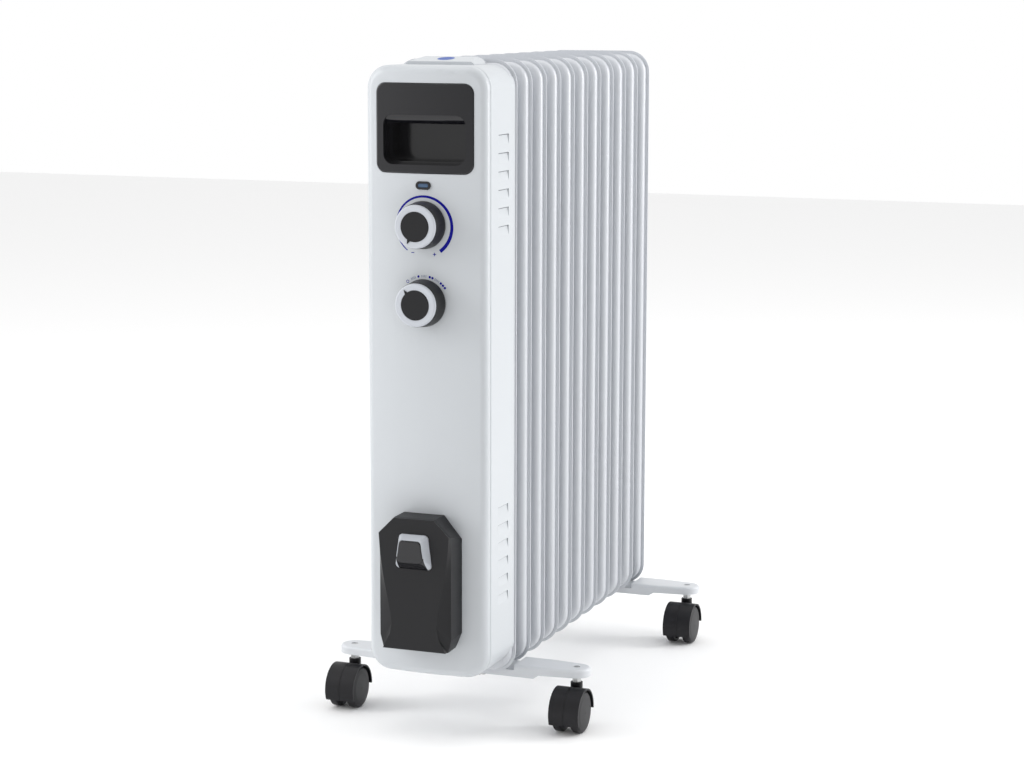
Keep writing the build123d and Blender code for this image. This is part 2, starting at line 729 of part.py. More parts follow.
with BuildPart() as cord_box_tray:
    # tub behind the cover, its open edge following the crown
    with BuildSketch(facing(TRAY_REAR_Y)):
        with Locations((0, (TRAY_TOP + TRAY_BOTTOM) / 2)):
            RectangleRounded(2 * TRAY_HALF_WIDTH, TRAY_TOP - TRAY_BOTTOM, 5)
    extrude(amount=TRAY_REAR_Y - FACE_Y + 3)
    add(crowned_form(62, 80, 240, 1, FRAME_PROUD, TRAY_REAR_Y + 2), mode=Mode.INTERSECT)
    add(tray_frame())
    with BuildSketch(facing(TRAY_REAR_Y - 2)):
        with Locations((0, (TRAY_TOP + TRAY_BOTTOM) / 2)):
            RectangleRounded(2 * TRAY_HALF_WIDTH - 4, TRAY_TOP - TRAY_BOTTOM - 4, 3)
    extrude(amount=TRAY_REAR_Y - FACE_Y + 5, mode=Mode.SUBTRACT)
    # hinge ears with their moulded pivot pins
    for ear_x in (-EAR_X, EAR_X):
        with BuildSketch(across(ear_x)):
            with BuildLine():
                Polyline(
                    (HINGE_Y - 1.0, HINGE_Z - 2.6),
                    (HINGE_Y + 2.0, HINGE_Z - 2.6),
                    (FACE_Y + 6.0, TRAY_BOTTOM + 0.5),
                    (FACE_Y + 6.0, TRAY_BOTTOM + 4.0),
                    (HINGE_Y - 1.0, HINGE_Z + 3.4),
                    (HINGE_Y - 3.0, HINGE_Z),
                    close=True,
                )
            make_face()
        extrude(amount=EAR_THICKNESS / 2, both=True)
        with BuildSketch(across(ear_x)):
            with Locations((HINGE_Y, HINGE_Z)):
                Circle(PIN_R)
        extrude(amount=EAR_THICKNESS / 2 + 3.0, both=True)
    # hole for the cord's bush in the rear wall
    with BuildSketch(facing(TRAY_REAR_Y + 1)):
        with Locations((0, 118)):
            Circle(6.0)
    extrude(amount=5, mode=Mode.SUBTRACT)
save(cord_box_tray.part, "cord_box_tray")

with BuildPart() as cord_box_lid:
    add(lid_form(0))
    add(lid_form(2.0), mode=Mode.SUBTRACT)
    # its rim follows the crowned cover and stays clear of the frame under it
    add(crowned_form(62, 60, 260, 1, 1.0 + GAP, FACE_Y + 14), mode=Mode.SUBTRACT)
    # lower rim rounded about the hinge, so that it swings clear of the cover
    with BuildSketch(across(0)):
        with Locations((HINGE_Y + 6, HINGE_Z - 5)):
            Rectangle(12, 10)
        with Locations((HINGE_Y, HINGE_Z)):
            Circle(6.2, mode=Mode.SUBTRACT)
    extrude(amount=40, both=True, mode=Mode.SUBTRACT)
    # hinge barrel along the lower edge, open where the ears stand
    with BuildSketch(across(0)):
        with Locations((HINGE_Y + 4.1, HINGE_Z - 4)):
            Rectangle(8.2, 10)
    extrude(amount=29.2, both=True, mode=Mode.SUBTRACT)
    with BuildSketch(across(0)):
        with Locations((HINGE_Y, HINGE_Z)):
            Circle(BARREL_R)
    extrude(amount=29.0, both=True)
    with BuildSketch(across(0)):
        with Locations((HINGE_Y, HINGE_Z)):
            Circle(PIN_R + FINE)
    extrude(amount=27.2, both=True, mode=Mode.SUBTRACT)
    for ear_x in (-EAR_X, EAR_X):
        with BuildSketch(across(ear_x)):
            with Locations((HINGE_Y + 1, HINGE_Z + 1.0)):
                Rectangle(13.5, 11)
        extrude(amount=EAR_THICKNESS / 2 + GAP, both=True, mode=Mode.SUBTRACT)
    # window for the latch
    with BuildSketch(facing(FACE_Y - 8)):
        add(latch_outline(LATCH_BASE, 0.4, 4.3))
    extrude(amount=25, mode=Mode.SUBTRACT)
    # spring seat across the inside, behind the latch
    with BuildSketch(facing(FACE_Y - 8.0)):
        with Locations((0, 187.5)):
            Rectangle(70, 12)
    extrude(amount=2.0)
save(cord_box_lid.part, "cord_box_lid")


plateau_y = FACE_Y - BOX_DEPTH
latch_front_y = plateau_y - LATCH_PROUD



def latch_frustum():
    """Sloping raised form of the whole latch, with its straight root in the lid's window."""
    with BuildPart() as form:
        with BuildSketch(facing(plateau_y)):
            add(latch_outline(LATCH_BASE, 0, 4.0))
        with BuildSketch(facing(latch_front_y + 1.2)):
            add(latch_outline(LATCH_PAD, 0.5, 4.0))
        loft()
        with BuildSketch(facing(plateau_y)):
            add(latch_outline(LATCH_BASE, 0, 4.0))
        extrude(amount=-4.0)
    return form.part


def latch_core(grow, press_edge_r):
    """Dark press pad, and under it the chin that reaches down to the window."""
    with BuildPart() as core:
        with BuildSketch(facing(plateau_y + 4)):
            with BuildLine():
                Polyline(
                    (13.4 + grow, 184),
                    (14.6 + grow, 168),
                    (-14.6 - grow, 168),
                    (-13.4 - grow, 184),
                    close=True,
                )
            make_face()
        extrude(amount=LATCH_PROUD + 4)
        add(latch_frustum(), mode=Mode.INTERSECT)
        add(latch_pad(grow, press_edge_r))
    return core.part


def latch_pad(grow, press_edge_r):
    """Rounded trapezoid pad that stands in front of the sloping flanks."""
    with BuildPart() as pad:
        with BuildSketch(facing(plateau_y + 4)):
            add(latch_outline(LATCH_PAD, grow - 0.2, 3.6))
        extrude(amount=LATCH_PROUD + 4)
        fillet(pad.faces().sort_by(Axis.Y)[0].edges(), press_edge_r)
    return pad.part


# Bright bezel of the latch: an arch of sloping flanks over and beside the dark pad.
with BuildPart() as latch_trim:
    add(latch_frustum())
    add(latch_core(0.1, 0.5), mode=Mode.SUBTRACT)
save(latch_trim.part, "latch_trim")

# Dark press pad with its chin, and a spring cup on its back.
with BuildPart() as latch_button:
    add(latch_core(0, 1.4))
    with BuildSketch(facing(plateau_y + 4)):
        with Locations((0, 187.5)):
            Circle(5.2)
    extrude(amount=8, mode=Mode.SUBTRACT)
save(latch_button.part, "latch_button")

# Return spring of the latch: a close helix between the seat and the pad's cup.
SPRING_R = 4.0
SPRING_WIRE_R = 0.4
spring_back_y = FACE_Y - 10.2 - SPRING_WIRE_R
spring_front_y = plateau_y - 4.0 + SPRING_WIRE_R
spring_length = spring_back_y - spring_front_y
with BuildPart() as latch_spring:
    with BuildLine() as coil:
        Helix(
            pitch=spring_length / 6,
            height=spring_length,
            radius=SPRING_R,
            center=(0, spring_back_y, 187.5),
            direction=(0, -1, 0),
        )
    with BuildSketch(Plane(origin=coil.line @ 0, z_dir=coil.line % 0)):
        Circle(SPRING_WIRE_R)
    sweep(path=coil.line, is_frenet=True)
save(latch_spring.part, "latch_spring")

# Bush that leads the mains cord through the rear wall of the cord store.
with BuildPart() as cord_gland:
    with BuildSketch(facing(TRAY_REAR_Y + 3)):
        with Locations((0, 118)):
            Circle(5.9)
    extrude(amount=5)
    with BuildSketch(facing(TRAY_REAR_Y - 2)):
        with Locations((0, 118)):
            Circle(8.0)
    extrude(amount=2)
    fillet(cord_gland.faces().sort_by(Axis.Y)[0].edges(), 0.8)
    with BuildSketch(facing(TRAY_REAR_Y + 4)):
        with Locations((0, 118)):
            Circle(3.7)
    extrude(amount=12, mode=Mode.SUBTRACT)
save(cord_gland.part, "cord_gland")

# ================================================================ electrical interior
SHIELD_FRONT_Y = FACE_Y + SHIELD_DEPTH - 1.0
BLOCK_Z = 262.0
with BuildPart() as terminal_block:
    with BuildSketch(facing(SHIELD_FRONT_Y)):
        with Locations((0, BLOCK_Z)):
            Rectangle(36, 16)
    extrude(amount=14)
    with BuildSketch(facing(SHIELD_FRONT_Y - 14)):
        with GridLocations(10, 1, 3, 1):
            with Locations((0, BLOCK_Z)):
                Circle(2.4)
    extrude(amount=-6, mode=Mode.SUBTRACT)
save(terminal_block.part, "terminal_block")

# Disc cutout that switches the heater off when the housing gets too hot.
CUTOUT_Z = 172.0
with BuildPart() as thermal_cutout:
    with BuildSketch(facing(SHIELD_FRONT_Y)):
        with Locations((0, CUTOUT_Z)):
            Circle(8.0)
    extrude(amount=7)
    with BuildSketch(facing(SHIELD_FRONT_Y)):
        with Locations((0, CUTOUT_Z)):
            SlotOverall(32, 10)
    extrude(amount=1.2)
    with BuildSketch(facing(SHIELD_FRONT_Y - 7)):
        with Locations((-4, CUTOUT_Z), (4, CUTOUT_Z)):
            Rectangle(0.8, 6.3)
    extrude(amount=7)
save(thermal_cutout.part, "thermal_cutout")

# Insulated leads, clipped in the space between the controls and the heat shield.
LEAD_R = 1.5


def lead(points):
    """One round lead through straight runs and tangent bends."""
    with BuildPart() as wire:
        with BuildLine() as route:
            FilletPolyline(*points, radius=5.0)
        with BuildSketch(Plane(origin=route.line @ 0, z_dir=route.line % 0)):
            Circle(LEAD_R)
        sweep(path=route.line)
    return wire.part


back_lead_y = FACE_Y + 44.0
front_lead_y = FACE_Y + 37.0
with BuildPart() as wiring_loom:
    add(
        lead(
            [
                (-10, CONTROL_REAR_Y + 9, THERMOSTAT_Z),
                (-10, back_lead_y, THERMOSTAT_Z),
                (-10, back_lead_y, BLOCK_Z + 26),
                (-10, SHIELD_FRONT_Y - 8, BLOCK_Z + 26),
                (-10, SHIELD_FRONT_Y - 8, BLOCK_Z + 8.2),
            ]
        )
    )
    add(
        lead(
            [
                (8, CONTROL_REAR_Y + 9, SWITCH_Z),
                (8, back_lead_y, SWITCH_Z),
                (8, back_lead_y, BLOCK_Z + 26),
                (8, SHIELD_FRONT_Y - 8, BLOCK_Z + 26),
                (8, SHIELD_FRONT_Y - 8, BLOCK_Z + 8.2),
            ]
        )
    )
    add(
        lead(
            [
                (14, SHIELD_FRONT_Y - 8, BLOCK_Z - 8.2),
                (14, SHIELD_FRONT_Y - 8, BLOCK_Z - 30),
                (24, SHIELD_FRONT_Y - 8, BLOCK_Z - 30),
                (24, SHIELD_FRONT_Y - 8, LOWER_HUB_Z + 30),
            ]
        )
    )
save(wiring_loom.part, "wiring_loom")

# Countersunk screws that hold the front cover to the lip of the band.
with BuildPart() as cover_screws:
    for screw_z in (HOUSING_BOTTOM + 60, HOUSING_MID_Z, HOUSING_TOP - 60):
        with BuildSketch(facing(band_front_y + BAND_WALL + 2.0)):
            with Locations((-53.4, screw_z), (53.4, screw_z)):
                Circle(3.2)
        extrude(amount=1.9)
save(cover_screws.part, "cover_screws")


# ================================================================ feet
def foot_outline(inset):
    """Plan of a foot: parallel near the fins, drawn in to a rounded tip on each side."""
    with BuildSketch() as outline:
        Rectangle(2 * (FOOT_SHOULDER_X - inset), 2 * (FOOT_HALF_WIDTH - inset))
        with Locations((-STEM_X, 0), (STEM_X, 0)):
            Circle(FOOT_TIP_R - inset)
        make_hull()
    return outline.sketch


FIN_SEAT_Z = FIN_BOTTOM + RIM_FLANGE - GAP      # the beads of two fins stand on the foot
FOOT_FLANGE_Z = 51.5
FOOT_DEEP_Z = 48.0
SEAT_HALF_WIDTH = FIN_HALF_WIDTH - RIM_FLANGE + 0.8


def wing_foot(y):
    """Pressed foot: a dropped seat under two fins and a raised wing on each side."""
    with BuildPart() as foot:
        with BuildSketch(Plane((0, y, FOOT_FLANGE_Z))):
            add(foot_outline(0))
        extrude(amount=FOOT_TOP - FOOT_FLANGE_Z)
        fillet(foot.faces().sort_by(Axis.Z)[-1].edges(), 2.6)
        with BuildSketch(facing(y)):
            with BuildLine():
                Polyline(
                    (-84, FOOT_FLANGE_Z + 2),
                    (-84, FOOT_FLANGE_Z),
                    (-78.5, FOOT_DEEP_Z),
                    (78.5, FOOT_DEEP_Z),
                    (84, FOOT_FLANGE_Z),
                    (84, FOOT_FLANGE_Z + 2),
                    close=True,
                )
            make_face()
        extrude(amount=FOOT_HALF_WIDTH, both=True)
        with BuildSketch(Plane((0, y, FOOT_DEEP_Z - 1))):
            add(foot_outline(FOOT_WALL))
        extrude(amount=FOOT_TOP - FOOT_WALL - FOOT_DEEP_Z + 1, mode=Mode.SUBTRACT)
        # seat web between the two risers
        with BuildSketch(Plane((0, y, FIN_SEAT_Z - FOOT_WALL))):
            Rectangle(2 * SEAT_HALF_WIDTH + 2 * FOOT_WALL, 2 * FOOT_HALF_WIDTH)
        extrude(amount=FOOT_TOP - FIN_SEAT_Z)
        with BuildSketch(Plane((0, y, FIN_SEAT_Z))):
            Rectangle(2 * SEAT_HALF_WIDTH, 2 * FOOT_HALF_WIDTH + 2)
        extrude(amount=20, mode=Mode.SUBTRACT)
        # stem holes in the wings and holes for the legs of the U-bolt
        with BuildSketch(Plane((0, y, FOOT_DEEP_Z))):
            with Locations((-STEM_X, 0), (STEM_X, 0)):
                Circle(3.4)
        extrude(amount=20, mode=Mode.SUBTRACT)
        neck_mid = FIN_PITCH / 2 - FOOT_OFFSET
        leg_y = neck_mid if y < 0 else -neck_mid
        with BuildSketch(Plane((0, y, FOOT_DEEP_Z))):
            with Locations((-U_BOLT_R, leg_y), (U_BOLT_R, leg_y)):
                Circle(U_WIRE_R + GAP)
        extrude(amount=20, mode=Mode.SUBTRACT)
    return foot.part


U_WIRE_R = 2.5
U_BOLT_R = NECK_R + 0.1 + U_WIRE_R
save(wing_foot(FRONT_FOOT_Y), "front_foot")
save(wing_foot(REAR_FOOT_Y), "rear_foot")

# A U-bolt round the lower neck and two wing nuts clamp each foot to the fins.
with BuildPart() as foot_fasteners:
    for bolt_y in (FIRST_RIM_Y + FIN_PITCH / 2, LAST_RIM_Y - FIN_PITCH / 2):
        with BuildLine(facing(bolt_y)) as u_path:
            Line((-U_BOLT_R, 42), (-U_BOLT_R, LOWER_HUB_Z))
            ThreePointArc(
                (-U_BOLT_R, LOWER_HUB_Z), (0, LOWER_HUB_Z + U_BOLT_R), (U_BOLT_R, LOWER_HUB_Z)
            )
            Line((U_BOLT_R, LOWER_HUB_Z), (U_BOLT_R, 42))
        with BuildSketch(Plane((-U_BOLT_R, bolt_y, 42))) as u_section:
            Circle(U_WIRE_R)
        sweep(u_section.sketch, path=u_path.wires()[0])
    nut_top_z = FIN_SEAT_Z - FOOT_WALL
    for bolt_y in (FIRST_RIM_Y + FIN_PITCH / 2, LAST_RIM_Y - FIN_PITCH / 2):
        for nut_x in (-U_BOLT_R, U_BOLT_R):
            with BuildSketch(Plane((nut_x, bolt_y, nut_top_z - 7))):
                Circle(5.2)
                Circle(U_WIRE_R + 0.02, mode=Mode.SUBTRACT)
            extrude(amount=7)
            with BuildSketch(Plane((nut_x, bolt_y, nut_top_z - 9))):
                Rectangle(2.2, 22)
                Circle(U_WIRE_R + 1.0, mode=Mode.SUBTRACT)
            extrude(amount=7)
save(foot_fasteners.part, "foot_fasteners")

# ================================================================ casters
STEM_R = 3.0
COLLAR_TOP_Z = 44.7
SOCKET_BOTTOM_Z = 27.0
RIB_HALF = 4.2
WHEEL_INNER = 4.7               # inner face of a wheel, from the middle of the caster
WHEEL_OUTER = 14.3
HOOD_HALF = 15.0
HOOD_R = 22.7
HOOD_INNER_R = 21.1
AXLE_R = 2.0

with BuildPart() as caster_stems:
    for stem_x, stem_y in CASTERS.values():
        with BuildSketch(Plane((stem_x, stem_y, SOCKET_BOTTOM_Z + 0.5))):
            Circle(STEM_R)
        extrude(amount=FOOT_TOP - 0.5 - SOCKET_BOTTOM_Z - 0.5)
        with BuildSketch(Plane((stem_x, stem_y, COLLAR_TOP_Z + GAP))):
            RegularPolygon(4.4, 6)
        extrude(amount=FOOT_TOP - FOOT_WALL - COLLAR_TOP_Z - GAP)
save(caster_stems.part, "caster_stems")


def caster_hood(x, y):
    """Hood over both wheels with a centre rib, an axle bore and a socket for the stem."""
    axle_y = y - CASTER_TRAIL
    with BuildPart() as hood:
        # canopy: arched roof from low in front, over the top, to half height behind
        with BuildSketch(Plane((x, axle_y, WHEEL_R), x_dir=(0, 1, 0), z_dir=(1, 0, 0))):
            Circle(HOOD_R)
            Circle(HOOD_INNER_R, mode=Mode.SUBTRACT)
            with BuildLine():
                Polyline(
                    (0, 0), (26, -1), (26, -26), (-26, -26), (-26, -12.5), close=True
                )
            make_face(mode=Mode.SUBTRACT)
        extrude(amount=HOOD_HALF, both=True)
        # centre rib between the wheels
        with BuildSketch(Plane((x, axle_y, WHEEL_R), x_dir=(0, 1, 0), z_dir=(1, 0, 0))):
            Circle(HOOD_INNER_R + 0.5)
            with Locations((0, -21)):
                Rectangle(50, 22, mode=Mode.SUBTRACT)
        extrude(amount=RIB_HALF, both=True)
        # boss and collar round the stem
        with BuildSketch(Plane((x, y, SOCKET_BOTTOM_Z - 1.5))):
            Rectangle(2 * RIB_HALF, 9.0)
        extrude(amount=39 - SOCKET_BOTTOM_Z)
        with BuildSketch(Plane((x, y, 38.5))):
            Circle(5.8)
        extrude(amount=COLLAR_TOP_Z - 38.5)
        with BuildSketch(Plane((x, y, SOCKET_BOTTOM_Z))):
            Circle(STEM_R + FINE)
        extrude(amount=30, mode=Mode.SUBTRACT)
        # axle bore, and the fine parting line of the two moulded halves
        with BuildSketch(Plane((x, axle_y, WHEEL_R), x_dir=(0, 1, 0), z_dir=(1, 0, 0))):
            Circle(AXLE_R)
        extrude(amount=RIB_HALF + 1, both=True, mode=Mode.SUBTRACT)
        with BuildSketch(Plane((x, axle_y, WHEEL_R), x_dir=(0, 1, 0), z_dir=(1, 0, 0))):
            Circle(HOOD_R + 1)
            Circle(HOOD_R - 0.3, mode=Mode.SUBTRACT)
            with Locations((14, 14)):
                Rectangle(28, 28, mode=Mode.SUBTRACT)
        extrude(amount=0.25, both=True, mode=Mode.SUBTRACT)
    return hood.part


def caster_axle(x, y):
    """Plain steel pin, held in the rib, on which both wheels turn."""
    with BuildPart() as axle:
        with BuildSketch(
            Plane((x, y - CASTER_TRAIL, WHEEL_R), x_dir=(0, 1, 0), z_dir=(1, 0, 0))
        ):
            Circle(AXLE_R)
        extrude(amount=WHEEL_OUTER - 2.6, both=True)
    return axle.part


def caster_wheel(x, y, side):
    """Moulded wheel with a dished outer face, a rounded tread and a blind hub bore."""
    with BuildPart() as wheel:
        with BuildSketch(Plane((x, y - CASTER_TRAIL, WHEEL_R), x_dir=(1, 0, 0), z_dir=(0, 0, 1))):
            with BuildLine():
                Polyline(
                    (side * WHEEL_INNER, AXLE_R + FINE),
                    (side * (WHEEL_OUTER - 2.3), AXLE_R + FINE),
                    (side * (WHEEL_OUTER - 2.3), 0),
                    (side * (WHEEL_OUTER + 0.3), 0),
                    (side * WHEEL_OUTER, WHEEL_R - 6.0),
                    (side * (WHEEL_OUTER - 0.6), WHEEL_R - 1.6),
                    (side * (WHEEL_OUTER - 2.0), WHEEL_R),
                    (side * (WHEEL_INNER + 1.2), WHEEL_R),
                    (side * WHEEL_INNER, WHEEL_R - 1.2),
                    (side * WHEEL_INNER, WHEEL_R - 3.6),
                    (side * (WHEEL_INNER + 5.0), WHEEL_R - 4.2),
                    (side * (WHEEL_INNER + 5.0), AXLE_R + 3.2),
                    (side * WHEEL_INNER, AXLE_R + 3.0),
                    close=True,
                )
            make_face()
        revolve(axis=Axis((x, y - CASTER_TRAIL, WHEEL_R), (1, 0, 0)))
    return wheel.part


for corner, (stem_x, stem_y) in CASTERS.items():
    save(caster_hood(stem_x, stem_y), f"caster_{corner}_hood")
    save(caster_axle(stem_x, stem_y), f"caster_{corner}_axle")
    save(caster_wheel(stem_x, stem_y, -1), f"caster_{corner}_wheel_left")
    save(caster_wheel(stem_x, stem_y, 1), f"caster_{corner}_wheel_right")
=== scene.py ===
# %% [markdown]
# # An oil filled radiator heater
# The solid pieces of this heater come from the CAD frame, already in their places and in
# metres. This lesson gives every piece its finish, adds the printed marks and the dark
# louvre slits that are too thin to be solids, and lights the heater like a studio picture.

# %% Load the frame
import json
import math

import bmesh
import bpy
from mathutils import Matrix, Vector


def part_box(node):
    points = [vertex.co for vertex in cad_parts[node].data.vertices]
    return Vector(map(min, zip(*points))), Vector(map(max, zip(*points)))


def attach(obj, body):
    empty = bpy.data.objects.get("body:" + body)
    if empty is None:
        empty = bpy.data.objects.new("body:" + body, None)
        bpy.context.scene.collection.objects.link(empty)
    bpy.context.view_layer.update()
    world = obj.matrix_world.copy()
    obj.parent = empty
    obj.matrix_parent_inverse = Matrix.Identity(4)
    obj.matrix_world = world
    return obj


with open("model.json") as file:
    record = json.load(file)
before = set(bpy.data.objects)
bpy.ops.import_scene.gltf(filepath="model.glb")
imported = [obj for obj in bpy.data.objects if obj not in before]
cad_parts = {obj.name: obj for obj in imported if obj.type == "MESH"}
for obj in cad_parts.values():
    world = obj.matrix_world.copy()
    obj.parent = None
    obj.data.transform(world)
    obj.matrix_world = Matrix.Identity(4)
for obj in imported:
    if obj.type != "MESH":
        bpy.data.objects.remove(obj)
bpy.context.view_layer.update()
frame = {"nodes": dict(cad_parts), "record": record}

# %% [markdown]
# The heater stands on the floor with +Z up, and the control front looks along -Y.
# A few places are needed by the printed marks, so they are read from the CAD nodes' boxes. Each
# dial is printed 1.4 mm below the axis of its knob.

# %% Places read from the CAD
MM = 0.001
cover_low, cover_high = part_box("front_cover")
FACE_Y = cover_low[1]
COVER_HALF_WIDTH = cover_high[0]
CROWN = 6.4 * MM
CROWN_R = (COVER_HALF_WIDTH**2 + CROWN**2) / (2 * CROWN)
PRINT_DROP = 1.4 * MM
knob_low, knob_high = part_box("thermostat_knob")
THERMOSTAT_Z = (knob_low[2] + knob_high[2]) / 2 - PRINT_DROP
knob_low, knob_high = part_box("switch_knob")
SWITCH_Z = (knob_low[2] + knob_high[2]) / 2 - PRINT_DROP
print("face at y", round(FACE_Y, 4), "dials at z", round(THERMOSTAT_Z, 4), round(SWITCH_Z, 4))

# %% [markdown]
# Colours are written as the usual sRGB hex values. Blender's sockets want linear light, so
# one function turns them. A second one adds a node, sets it up and links its inputs.


# %% Colour and node helpers
def linear(hex_colour):
    """sRGB hex colour as linear RGBA."""
    values = []
    for start in (0, 2, 4):
        part = int(hex_colour[start:start + 2], 16) / 255
        values.append(part / 12.92 if part <= 0.04045 else ((part + 0.055) / 1.055) ** 2.4)
    return (*values, 1.0)


def add_node(tree, kind, settings=None, inputs=None):
    """A node with its settings, its plain values, and links from other nodes' sockets."""
    node = tree.nodes.new(kind)
    for key, value in (settings or {}).items():
        setattr(node, key, value)
    for key, value in (inputs or {}).items():
        if isinstance(value, bpy.types.NodeSocket):
            tree.links.new(value, node.inputs[key])
        else:
            node.inputs[key].default_value = value
    return node


def finish_material(name, colour, rough, metal=0.0, ior=1.5, bump=None, second=None, extra=None):
    """A finish on Object coordinates. bump = (grain in mm, height in mm), second = (hex, grain mm)."""
    material = bpy.data.materials.new(name)
    material.use_nodes = True
    tree = material.node_tree
    shader = tree.nodes["Principled BSDF"]
    shader.inputs["Base Color"].default_value = linear(colour)
    shader.inputs["Roughness"].default_value = rough
    shader.inputs["Metallic"].default_value = metal
    if metal < 0.5:
        shader.inputs["IOR"].default_value = ior
    for key, value in (extra or {}).items():
        shader.inputs[key].default_value = value
    place = add_node(tree, "ShaderNodeTexCoord")
    if second:
        cloud = add_node(
            tree, "ShaderNodeTexNoise", None,
            {"Vector": place.outputs["Object"], "Scale": 1000 / second[1], "Detail": 2.0},
        )
        mix = add_node(
            tree, "ShaderNodeMix", {"data_type": "RGBA"},
            {0: cloud.outputs["Fac"], 6: linear(colour), 7: linear(second[0])},
        )
        tree.links.new(mix.outputs[2], shader.inputs["Base Color"])
    if bump:
        grain = add_node(
            tree, "ShaderNodeTexNoise", None,
            {"Vector": place.outputs["Object"], "Scale": 1000 / bump[0], "Detail": 2.0},
        )
        relief = add_node(
            tree, "ShaderNodeBump", None,
            {"Height": grain.outputs["Fac"], "Distance": bump[1] * MM, "Strength": 1.0},
        )
        tree.links.new(relief.outputs["Normal"], shader.inputs["Normal"])
    return material


# %% [markdown]
# The fins, the housing and the feet are steel sheet with a baked powder coat. The powder melts
# into a satin film with a very fine orange peel, grains about 1.5 mm apart and a few
# thousandths of a millimetre high, which breaks the reflections just a little.

# %% Powder coats
POWDER = {"Coat Weight": 0.15, "Coat Roughness": 0.2}
finishes = {}
finishes["fin_paint"] = finish_material(
    "White powder coat on the oil fins", "CBCED3", 0.32, bump=(1.6, 0.006), extra=POWDER
)
finishes["housing_paint"] = finish_material(
    "White powder coat on the housing", "C4C8CC", 0.38, bump=(1.4, 0.006), extra=POWDER
)
finishes["foot_paint"] = finish_material(
    "White powder coat on the pressed feet", "D0D3D7", 0.36, bump=(1.6, 0.006), extra=POWDER
)
print("powder coats:", [m.name for m in finishes.values()])

# %% [markdown]
# The plastics differ by how they were moulded. The handle pocket comes from a polished mould
# and shines, and the knob skirts get a finely honed black of their own. The cord store and the
# casters come from a spark-eroded mould that leaves a fine grain, so their highlights are wide and
# dull.

# %% Plastics
finishes["black_gloss"] = finish_material(
    "Black ABS from a polished mould", "151519", 0.14, ior=1.53, bump=(6.0, 0.004)
)
finishes["black_satin"] = finish_material(
    "Black ABS from a grained mould", "0D0D11", 0.44, ior=1.41, bump=(0.7, 0.03)
)
finishes["caster_plastic"] = finish_material(
    "Black nylon caster moulding", "0D0C11", 0.44, ior=1.40, bump=(1.0, 0.02)
)
finishes["silver_plastic"] = finish_material(
    "Pale grey lacquered ABS", "C0C4CB", 0.30, ior=1.5, bump=(0.6, 0.004)
)
finishes["white_plastic"] = finish_material(
    "White ABS cap", "C4C8CC", 0.35, ior=1.53, bump=(1.2, 0.006)
)
finishes["lens_plastic"] = finish_material(
    "Smoky blue polycarbonate lens", "48678A", 0.10, ior=1.585,
    extra={"Transmission Weight": 0.25},
)
finishes["bakelite"] = finish_material(
    "Brown-black phenolic moulding", "2A2320", 0.45, ior=1.6, second=("352C27", 3.0)
)
finishes["lead_insulation"] = finish_material(
    "Woven glass sleeve on the leads", "B9AE98", 0.75, bump=(0.5, 0.08), second=("A79C86", 1.0)
)
knob_skirt = finish_material(
    "Black ABS knob skirt, finely honed", "09090C", 0.42, ior=1.45, bump=(0.8, 0.01)
)
print("plastics:", len(finishes) + 1)

# %% [markdown]
# The metal pieces are zinc plated steel, aluminised shield plate and the nickel alloy of the
# heating rods. A plated surface is metallic with a soft cloudy bloom, so it gets a slow noise
# between two close tones. The terminal block is unglazed ceramic.

# %% Metals and ceramic
finishes["zinc_steel"] = finish_material(
    "Bright zinc plate on steel", "C6C7C6", 0.32, metal=1.0, second=("B4B6B8", 4.0)
)
finishes["shield_steel"] = finish_material(
    "Aluminised heat shield plate", "BFC1C3", 0.38, metal=1.0, second=("ADB0B3", 12.0)
)
finishes["element_steel"] = finish_material(
    "Nickel alloy sheath of the heating rods", "8E8B86", 0.40, metal=1.0, second=("7D7A75", 5.0)
)
finishes["ceramic_body"] = finish_material(
    "Unglazed steatite terminal block", "DDD8CB", 0.70, bump=(0.8, 0.02)
)

# %% Give every CAD node its finish
for entry in frame["record"]["subparts"]:
    piece = frame["nodes"][entry["node"]]
    piece.data.materials.clear()
    piece.data.materials.append(finishes[entry["material_slot"]])
KNOB_SKIRTS = ("thermostat_knob", "switch_knob")
for name in KNOB_SKIRTS:
    frame["nodes"][name].data.materials.clear()
    frame["nodes"][name].data.materials.append(knob_skirt)

# %% [markdown]
# The dial marks are pad-printed ink: a film far thinner than paper. Each mark is made as a
# very thin closed piece whose back lies just inside the cover, so no light shows under it.
# The cover is crowned, so every point is pushed back to the crown at its own width.

# %% Ink and the crown
ink_navy = finish_material("Navy pad-printing ink", "06068A", 0.55, ior=1.25)
ink_grey = finish_material("Pale grey pad-printing ink", "6F7894", 0.50, ior=1.3)
ink_blue = finish_material("Blue label film", "2450A6", 0.40, ior=1.35)
# Painted shade: a mid grey that stands for the shaded opening of each louvre slit.
slit_painted_shade = finish_material("Shaded space behind the louvres", "74787D", 0.9)
INK_PROUD = 0.06 * MM
INK_DEPTH = 0.16 * MM


def crown_y(x, proud=0.0):
    """Depth of the crowned cover at width x."""
    return FACE_Y + CROWN_R - math.sqrt(CROWN_R**2 - x**2) - proud


